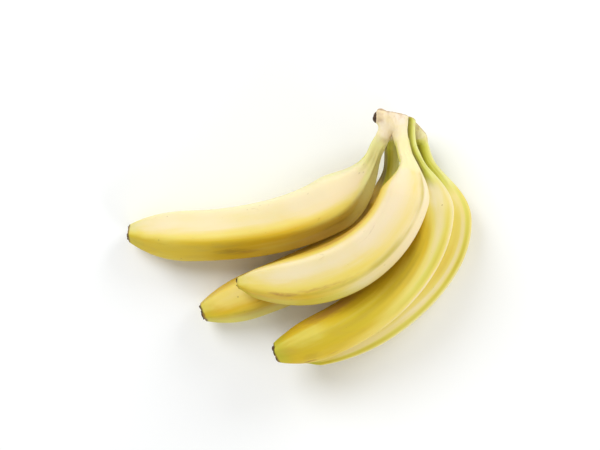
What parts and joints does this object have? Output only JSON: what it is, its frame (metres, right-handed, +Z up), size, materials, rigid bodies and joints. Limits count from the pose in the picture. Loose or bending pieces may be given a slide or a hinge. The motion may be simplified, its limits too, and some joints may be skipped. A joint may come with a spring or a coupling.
{
  "type": "bunch of bananas",
  "caption": "Bunch of ripe bananas on one cut crown, lying on its side, with ridged curved fingers, slim pedicels and dried tips.",
  "frame": {"origin": "on the table, under the middle of the bunch's bounding box", "axes": "+Z up from the table, +X across the bunch towards the outermost fingers, +Y towards the crown"},
  "size_m": [0.2208, 0.1632, 0.0842],
  "materials": {
    "peel": "satin waxy banana peel, yellow with greener pedicel and tip",
    "crown": "matte fibrous crown, cream with a dry brown knife cut",
    "dried": "matte dried dark brown plant scar"
  },
  "bodies": {
    "root": {"crown": "crown", "crown_scab": "dried", "banana_1": "peel", "banana_2": "peel", "banana_3": "peel", "banana_4": "peel", "banana_5": "peel", "tip_1": "dried", "tip_2": "dried", "tip_3": "dried", "tip_4": "dried", "tip_5": "dried"}
  },
  "joints": []
}
